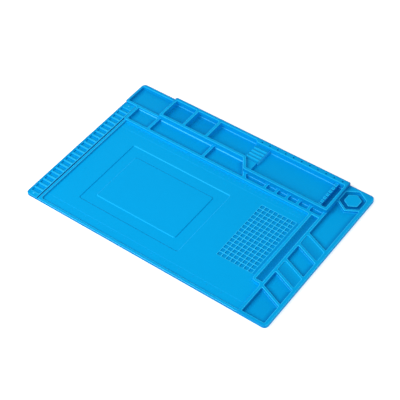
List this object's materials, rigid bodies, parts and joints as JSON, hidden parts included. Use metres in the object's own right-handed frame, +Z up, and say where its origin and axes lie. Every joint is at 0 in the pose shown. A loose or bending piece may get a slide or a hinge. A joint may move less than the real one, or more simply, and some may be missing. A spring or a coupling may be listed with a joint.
{
  "type": "parts sorting tray",
  "caption": "Flat silicone work mat with parts bins, a screw strip, a raised tool tray, a pen channel, a component grid and two magnetic bins.",
  "frame": {"origin": "middle of the underside, on the bench surface", "axes": "+X to the right along the long side, +Y to the back row of tall bins, +Z up"},
  "size_m": [0.45, 0.3, 0.0125],
  "materials": {
    "silicone": "satin sky-blue silicone rubber",
    "magnet": "nickel-plated disc magnet, out of sight under the bin floor"
  },
  "bodies": {
    "root": {"base_sheet": "silicone", "component_grid": "silicone", "screw_strip": "silicone", "work_rim": "silicone", "corner_bin_walls": "silicone", "tall_tray_walls": "silicone", "bit_rail": "silicone", "tool_rest": "silicone", "blade_comb": "silicone", "long_bin_walls": "silicone", "small_bin_walls": "silicone", "pen_channel": "silicone", "column_walls": "silicone", "magnetic_bin_1": "silicone", "magnetic_bin_2": "silicone", "corner_divider": "silicone", "nut_well": "silicone", "nut_well_island": "silicone", "magnet_1": "magnet", "magnet_2": "magnet", "magnet_3": "magnet", "magnet_4": "magnet", "magnet_5": "magnet", "magnet_6": "magnet"}
  },
  "joints": []
}
